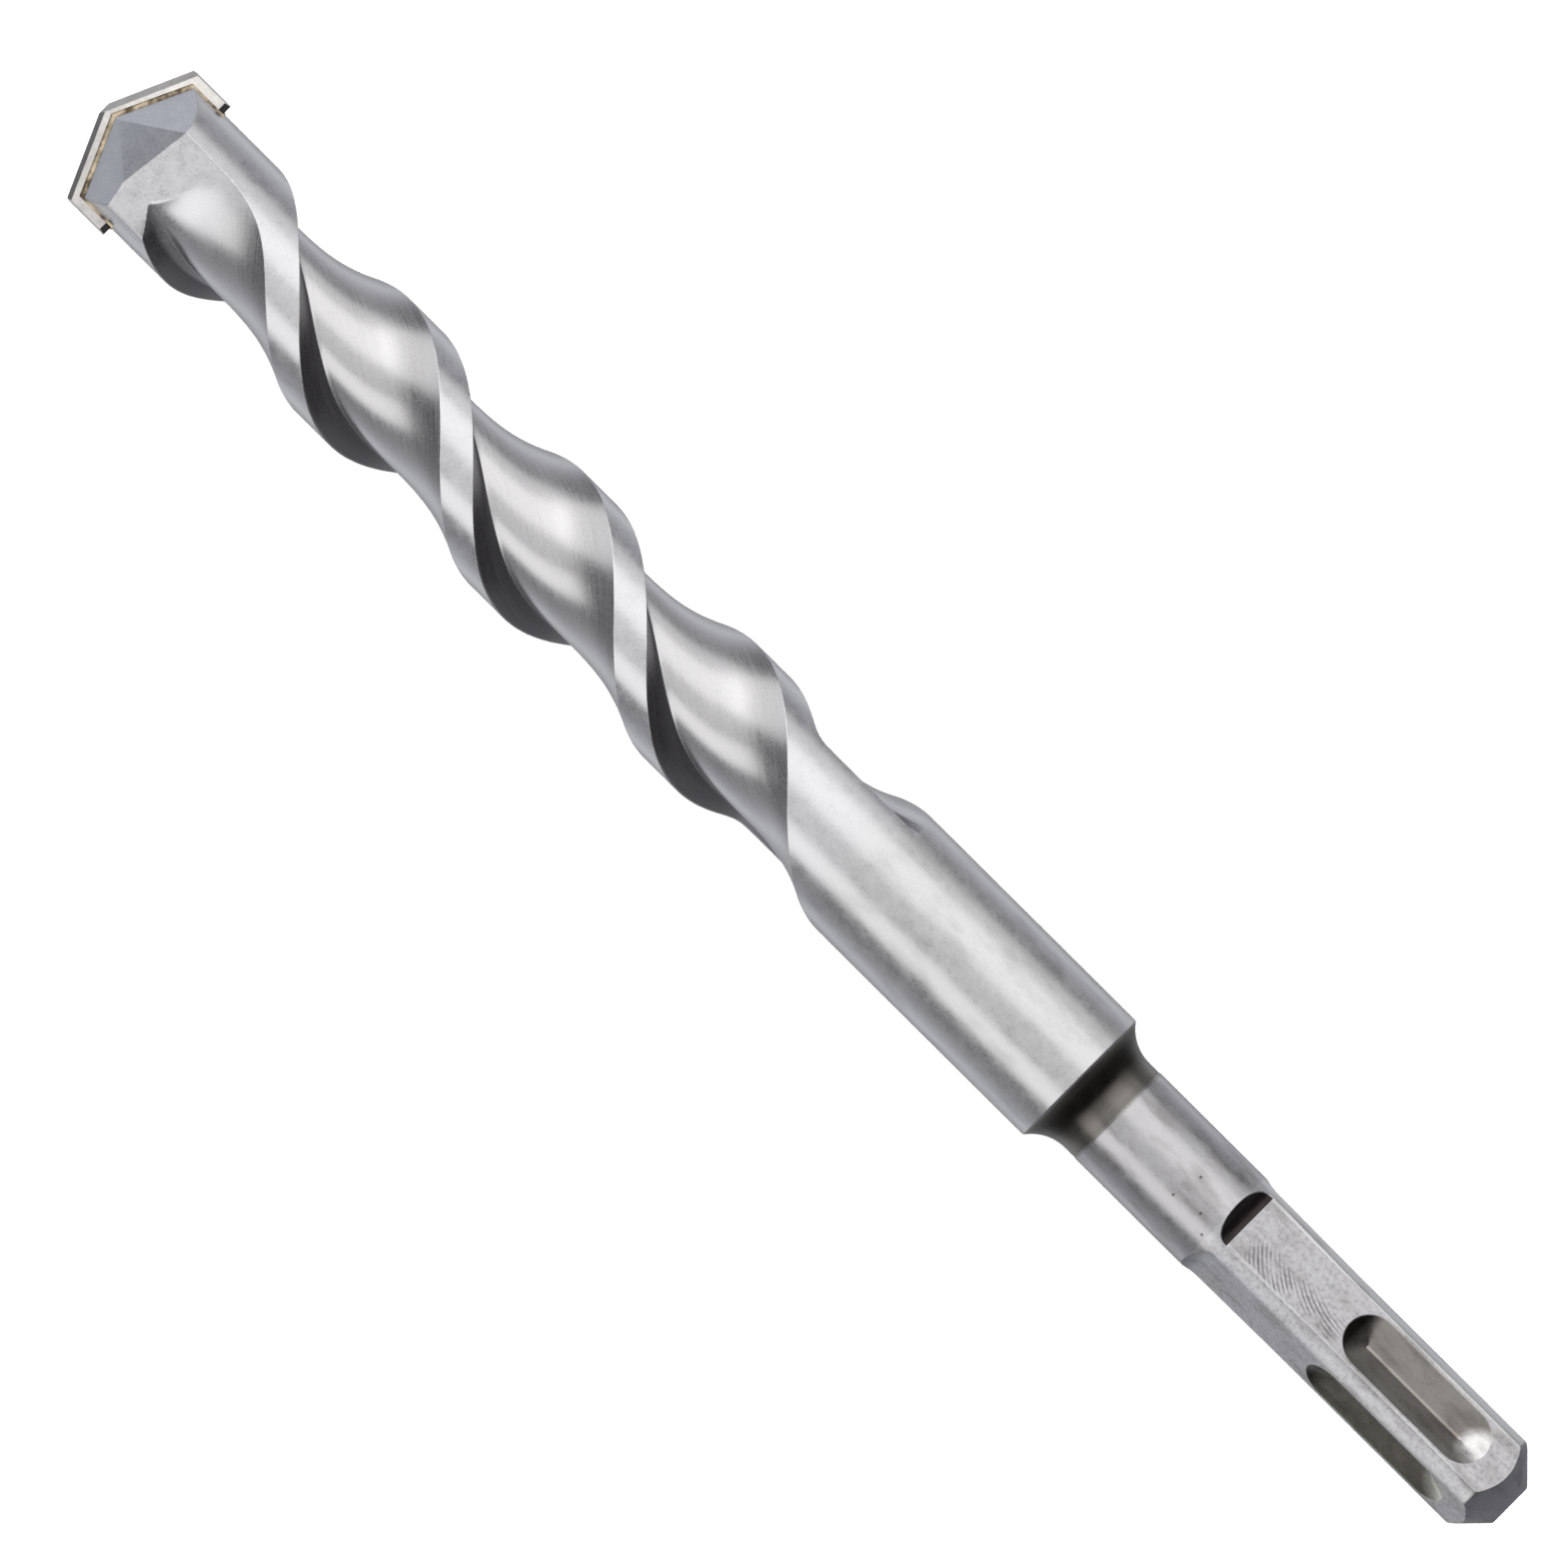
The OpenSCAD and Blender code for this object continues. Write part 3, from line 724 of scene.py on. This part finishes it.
def plate_bmesh(plate, tip):
    """The carbide plate: a disc sliced to its thickness and ground to its two cutting edges."""
    bm = bmesh.new()
    bmesh.ops.create_cone(bm, cap_ends=True, segments=256, radius1=mm(plate.tip_d) / 2, radius2=mm(plate.tip_d) / 2, depth=12)
    dark = bm.faces.layers.float.new("dark")
    half, chamfer = mm(plate.thick) / 2, mm(plate.chamfer)
    rear = tip - mm(plate.high)
    bmesh.ops.translate(bm, vec=(0, 0, rear + 6), verts=bm.verts)
    slope = math.pi / 2 - plate.point / 2
    over = half * math.tan(plate.relief)
    for side in (0, 180):
        spin = Matrix.Rotation(math.radians(side), 3, "Z")
        slice_off(bm, spin @ Vector((half, 0, 0)), spin @ Vector((1, 0, 0)))
        slice_off(bm, spin @ Vector((half - chamfer, 0, rear)), spin @ Vector((1, 0, -1)).normalized())
        normal = Matrix.Rotation(-slope, 3, "X") @ Matrix.Rotation(plate.relief, 3, "Y") @ Vector((0, 0, 1))
        slice_off(bm, spin @ Vector((-half, 0, tip + over)), spin @ normal)
        edge = Matrix.Rotation(-slope, 3, "X") @ Vector((0, 0, 1))
        ground = (edge * 1.1 + Vector((-1, 0, 0))).normalized()
        slice_off(bm, spin @ (Vector((-half, 0, tip + over)) - edge * mm(plate.edge_land)), spin @ ground)
        # Ground edge lands and rear chamfers are marked dark for painted shade in the material.
        for f in bm.faces:
            f.normal_update()
            if f.normal.dot(spin @ ground) > 0.999:
                f[dark] = 0.75
            if f.normal.dot(spin @ Vector((1, 0, -1)).normalized()) > 0.999:
                f[dark] = 1.0
    return bm


class DRILL_OT_plate(Operator):
    """Build the carbide plate with its ground edges"""

    bl_idname = "drill.plate"
    bl_label = "Carbide Plate"

    def execute(self, context):
        scene = context.scene
        plate = scene.drill_plate
        form = FluteForm(scene.drill_shank, scene.drill_flutes)
        bm = plate_bmesh(plate, form.tip)
        bmesh.ops.recalc_face_normals(bm, faces=bm.faces)
        sharp = [e for e in bm.edges if len(e.link_faces) == 2 and e.calc_face_angle(0) > math.radians(15)]
        bmesh.ops.bevel(bm, geom=sharp, offset=0.045, offset_type="OFFSET", segments=2, profile=0.5, affect="EDGES", material=-1)
        obj = as_object(bm, "carbide_plate")
        lay_down(obj, "carbide_tip_finish", carbide_material(scene.drill_colours), 30)
        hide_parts("carbide_tip")
        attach(obj, "root")
        return {"FINISHED"}


class DRILL_OT_braze(Operator):
    """Build the braze around the plate"""

    bl_idname = "drill.braze"
    bl_label = "Braze"

    def execute(self, context):
        scene = context.scene
        plate = scene.drill_plate
        form = FluteForm(scene.drill_shank, scene.drill_flutes)
        r = form.radius + mm(plate.bead_side)
        wide = mm(plate.thick) / 2 + mm(plate.braze)
        low = form.tip - mm(plate.high) - mm(plate.braze)
        bm = bmesh.new()
        bmesh.ops.create_cone(bm, cap_ends=True, segments=192, radius1=r, radius2=r, depth=12)
        bmesh.ops.translate(bm, vec=(0, 0, low + 6), verts=bm.verts)
        for side in (1, -1):
            slice_off(bm, Vector((side * wide, 0, 0)), Vector((side, 0, 0)))
        cut_point(bm, form.tip, mm(plate.bead))
        obj = as_object(bm, "braze")
        half = mm(plate.thick) / 2 - 0.02
        carve(obj, [block((-half, -12, low + 0.17), (half, 12, low + 30))])
        lay_down(obj, "braze_seam_finish", braze_material(scene.drill_colours), 30)
        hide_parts("braze_seam")
        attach(obj, "root")
        return {"FINISHED"}


# soft boxes: name, angle off the vertical towards -Y, half width and half length as angles, lean towards -X, radiance
PANELS = (
    ("box_over", -8, 18, 30, 0, 0.95),
    ("box_right", 31, 22, 28, 0, 1.65),
    ("box_right_low", 66, 14, 28, 0, 0.9),
    ("box_left", -48, 18, 28, 0, 1.6),
    ("box_front", 33, 31, 22, -42, 1.15),
)


# the world's tones by height and by direction along the drill, from -1 to 1
WORLD_UP = (
    (-1.0, (0.34, 0.345, 0.36)),
    (-0.9, (0.48, 0.49, 0.51)),
    (-0.73, (0.96, 0.985, 1.02)),
    (-0.31, (0.56, 0.57, 0.60)),
    (0.0, (0.4, 0.405, 0.42)),
    (0.3, (0.26, 0.26, 0.27)),
    (1.0, (0.13, 0.13, 0.14)),
)
WORLD_ALONG = (
    (-1.0, (1.0, 1.0, 1.0)),
    (-0.85, (0.75, 0.75, 0.76)),
    (-0.6, (0.48, 0.48, 0.49)),
    (-0.4, (0.6, 0.6, 0.6)),
    (-0.2, (1, 1, 1)),
    (0.3, (1.1, 1.1, 1.1)),
    (0.48, (0.55, 0.55, 0.55)),
    (0.68, (0.5, 0.5, 0.5)),
    (0.84, (1.35, 1.38, 1.45)),
    (1.0, (1.75, 1.81, 1.92)),
)


def soft_box(scene, name, off, half_w, half_l, lean, radiance, reach=0.9):
    """An area light that faces the drill from an angle off the vertical, as wide and long as the angles say."""
    light = bpy.data.lights.new(name, "AREA")
    light.shape = "RECTANGLE"
    light.size = 2 * reach * math.tan(math.radians(half_l))
    light.size_y = 2 * reach * math.tan(math.radians(half_w))
    light.energy = math.pi * radiance * light.size * light.size_y
    lamp = bpy.data.objects.new(name, light)
    middle = Vector((0.085, 0, 0))
    turn = Matrix.Rotation(math.radians(off), 3, "X") @ Matrix.Rotation(math.radians(-lean), 3, "Y")
    lamp.location = middle + turn @ Vector((0, 0, reach))
    lamp.rotation_euler = turn.to_euler()
    scene.collection.objects.link(lamp)
    return lamp


def studio_world():
    """The studio around the drill: dim overhead, mid grey towards the table, dark along the drill's own length."""
    world = bpy.data.worlds.new("studio")
    world.use_nodes = True
    tree = world.node_tree
    add = adder(tree)
    way = add("ShaderNodeSeparateXYZ", {0: add("ShaderNodeTexCoord").outputs["Generated"]})

    def levels(axis, stops):
        fac = add("ShaderNodeMapRange", {"Value": way.outputs[axis], "From Min": -1.0}).outputs["Result"]
        return ramp(add, fac, [((pos + 1) / 2, tone) for pos, tone in stops])

    up = levels("Z", WORLD_UP)
    along = levels("X", WORLD_ALONG)
    both = add("ShaderNodeVectorMath", {0: up, 1: along}, operation="MULTIPLY").outputs["Vector"]
    tree.links.new(both, tree.nodes["Background"].inputs["Color"])
    return world


class DRILL_OT_stage(Operator):
    """Set the pale floor, the soft lights and the camera"""

    bl_idname = "drill.stage"
    bl_label = "Floor, Lights and Camera"

    def execute(self, context):
        scene = context.scene
        bm = bmesh.new()
        bmesh.ops.create_grid(bm, x_segments=1, y_segments=1, size=1.5)
        bmesh.ops.translate(bm, vec=(0.085, 0, BODY[0].z), verts=bm.verts)
        floor = as_object(bm, "floor")
        material, tree, bsdf, add = shader("pale_floor", scene.drill_colours.floor, 0.0, 0.9)
        bsdf.inputs["Specular IOR Level"].default_value = 0.0
        floor.data.materials.append(material)
        floor.visible_glossy = False

        scene.world = studio_world()
        for panel in PANELS:
            soft_box(scene, *panel)
        fill = soft_box(scene, "fill", 0, 50, 50, 0, 2.3)
        fill.visible_glossy = False

        camera = bpy.data.cameras.new("camera")
        camera.type = "ORTHO"
        camera.ortho_scale = 1569 / 12.1 * MM
        eye = bpy.data.objects.new("camera", camera)
        eye.location = (0.08467, 0.0, 0.5)
        eye.rotation_euler = (0, 0, math.radians(-135.17))
        scene.collection.objects.link(eye)
        scene.camera = eye
        scene.view_settings.view_transform = "Standard"
        return {"FINISHED"}


class DRILL_PT_panel(Panel):
    """Sizes, colours and building steps of the drill bit"""

    bl_idname = "DRILL_PT_panel"
    bl_label = "Drill Bit"
    bl_space_type = "VIEW_3D"
    bl_region_type = "UI"
    bl_category = "Drill Bit"

    def draw(self, context):
        for group in (context.scene.drill_shank, context.scene.drill_flutes, context.scene.drill_plate, context.scene.drill_colours):
            box = self.layout.box()
            for name in group.__annotations__:
                box.prop(group, name)
        for step in STEPS:
            self.layout.operator(step.bl_idname)


STEPS = (DRILL_OT_body, DRILL_OT_plate, DRILL_OT_braze, DRILL_OT_stage)
GROUPS = (DrillShankSizes, DrillFluteSizes, DrillPlateSizes, DrillColours)


def register():
    for cls in (*GROUPS, *STEPS, DRILL_PT_panel):
        bpy.utils.register_class(cls)
    bpy.types.Scene.drill_shank = PointerProperty(type=DrillShankSizes)
    bpy.types.Scene.drill_flutes = PointerProperty(type=DrillFluteSizes)
    bpy.types.Scene.drill_plate = PointerProperty(type=DrillPlateSizes)
    bpy.types.Scene.drill_colours = PointerProperty(type=DrillColours)


def unregister():
    for name in ("drill_shank", "drill_flutes", "drill_plate", "drill_colours"):
        delattr(bpy.types.Scene, name)
    for cls in reversed((*GROUPS, *STEPS, DRILL_PT_panel)):
        bpy.utils.unregister_class(cls)


def main():
    register()
    bpy.ops.drill.body()
    bpy.ops.drill.plate()
    bpy.ops.drill.braze()
    bpy.ops.drill.stage()


if __name__ == "__main__":
    main()
